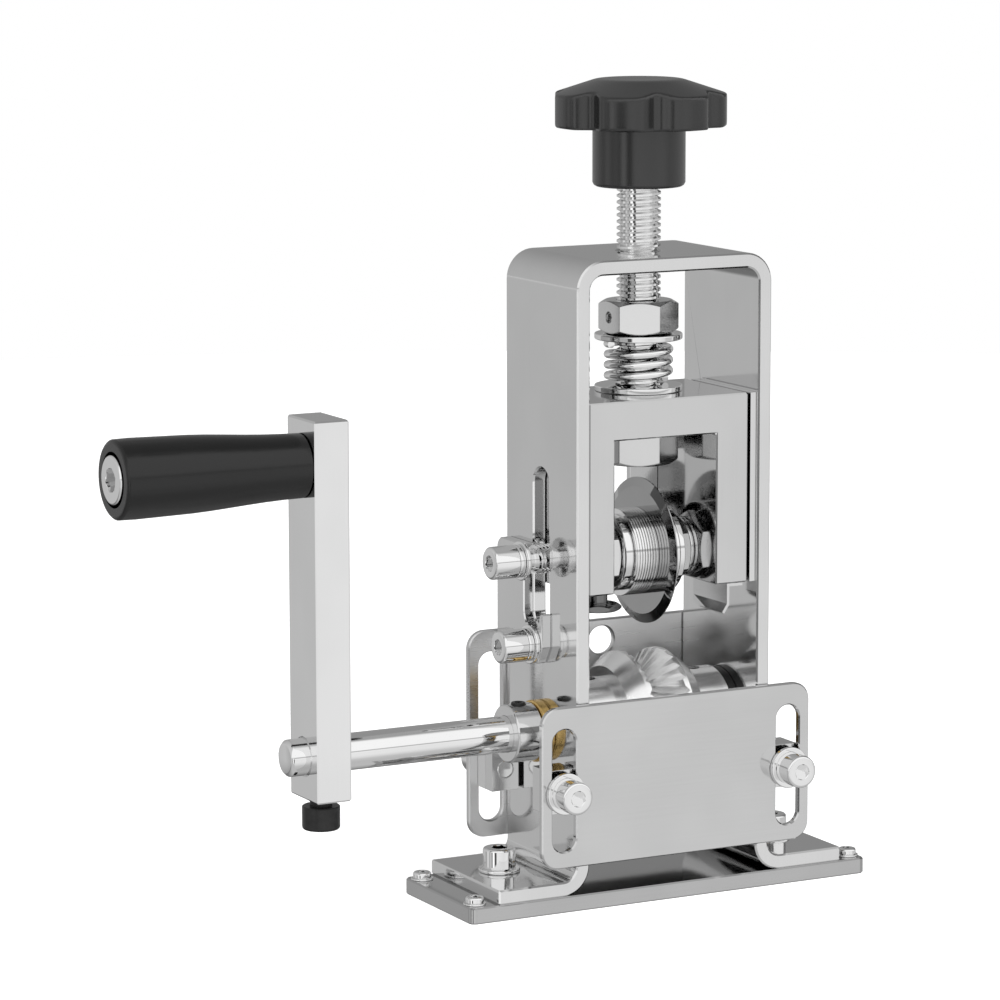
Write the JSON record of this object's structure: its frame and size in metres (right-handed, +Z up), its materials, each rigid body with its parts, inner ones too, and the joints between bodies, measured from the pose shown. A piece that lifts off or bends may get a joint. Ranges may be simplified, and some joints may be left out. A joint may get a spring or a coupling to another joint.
{
  "type": "hand crank wire stripper",
  "caption": "Hand cranked cable stripper: toothed wheels feed a wire under a round blade that a knobbed screw lowers in a bent steel frame.",
  "frame": {"origin": "middle of the base plate's underside", "axes": "+X to the right seen from the front, with the crank at -X; +Y to the back, the way the wire leaves; +Z up"},
  "size_m": [0.2174, 0.0604, 0.2225],
  "materials": {
    "polished_steel": "polished, mirror-like",
    "brushed_steel": "fine brushed",
    "chromed_steel": "bright plated",
    "spring_steel": "bright plated wire",
    "wheel_steel": "satin, toothed",
    "blade_steel": "ground",
    "bronze": "turned bearing bronze",
    "black_plastic": "satin black",
    "black_steel": "black oxide"
  },
  "bodies": {
    "frame": {"base_plate": "brushed_steel", "base_screws": "chromed_steel", "base_washers": "chromed_steel", "main_frame": "polished_steel", "foot_screws": "chromed_steel", "foot_washers": "chromed_steel", "left_bush": "bronze", "right_bush": "bronze", "front_left_block": "brushed_steel", "front_right_block": "brushed_steel", "back_left_block": "brushed_steel", "back_right_block": "brushed_steel", "block_spacers": "black_steel", "block_screws": "chromed_steel", "front_plate_screws": "chromed_steel", "front_plate_washers": "chromed_steel", "back_plate_screws": "chromed_steel", "back_plate_washers": "chromed_steel", "slot_side_plate": "polished_steel", "slot_plate_screw": "chromed_steel", "slot_plate_washers": "chromed_steel", "gib_strip": "polished_steel", "gib_screws": "chromed_steel"},
    "front_plate": {"front_guide_plate": "polished_steel"},
    "back_plate": {"back_guide_plate": "polished_steel"},
    "screw_slider": {"upper_washer": "chromed_steel", "pressure_spring": "spring_steel"},
    "knob_screw": {"knob": "black_plastic", "adjusting_screw": "chromed_steel", "lock_nut": "chromed_steel", "lock_nut_set_screw": "black_steel", "keeper_nut": "chromed_steel"},
    "carriage": {"carriage": "polished_steel", "lower_washer": "chromed_steel", "wire_bracket": "polished_steel", "bracket_screws": "chromed_steel", "rear_plate": "polished_steel", "rear_plate_screws": "chromed_steel", "leg_bolt": "chromed_steel", "blade_axle": "chromed_steel", "axle_nuts": "chromed_steel", "axle_ring": "chromed_steel", "left_spacers": "chromed_steel", "right_spacers": "chromed_steel", "axle_end_screw": "chromed_steel", "axle_end_washers": "chromed_steel"},
    "blade": {"cutting_blade": "blade_steel"},
    "crank": {"drive_shaft": "chromed_steel", "left_feed_wheel": "wheel_steel", "right_feed_wheel": "wheel_steel", "wheel_set_screws": "black_steel", "thrust_rings": "black_steel", "shaft_collar": "brushed_steel", "collar_set_screw": "black_steel", "end_ring": "black_steel", "crank_arm": "brushed_steel", "arm_clamp_screw": "black_steel", "grip_bolt": "chromed_steel"},
    "grip": {"crank_grip": "black_plastic"}
  },
  "joints": [
    {"name": "front_guide_slide", "type": "slide", "parent": "frame", "child": "front_plate", "axis": [0, 0, 1], "range_m": [-0.012, 0.012]},
    {"name": "back_guide_slide", "type": "slide", "parent": "frame", "child": "back_plate", "axis": [0, 0, 1], "range_m": [-0.012, 0.012]},
    {"name": "screw_travel", "type": "slide", "parent": "frame", "child": "screw_slider", "axis": [0, 0, 1], "range_m": [-0.012, 0.009]},
    {"name": "knob_turn", "type": "hinge", "parent": "screw_slider", "child": "knob_screw", "pos_m": [0, 0, 0.18], "axis": [0, 0, 1], "range_deg": [-2470.57, 1853.43]},
    {"name": "carriage_float", "type": "slide", "parent": "screw_slider", "child": "carriage", "axis": [0, 0, 1], "range_m": [0, 0.0025], "stiffness_N_per_m": 8000, "springref_m": -0.003, "deforming": ["pressure_spring"]},
    {"name": "blade_spin", "type": "hinge", "parent": "carriage", "child": "blade", "pos_m": [0.001, 0, 0.0936], "axis": [1, 0, 0], "continuous": true},
    {"name": "crank_turn", "type": "hinge", "parent": "frame", "child": "crank", "pos_m": [0, 0, 0.0463], "axis": [1, 0, 0], "continuous": true},
    {"name": "grip_spin", "type": "hinge", "parent": "crank", "child": "grip", "pos_m": [-0.128, 0, 0.1243], "axis": [1, 0, 0], "continuous": true}
  ],
  "couplings": [
    {"joint": "knob_turn", "follows": "screw_travel", "rad_per_m": 3590.4}
  ]
}
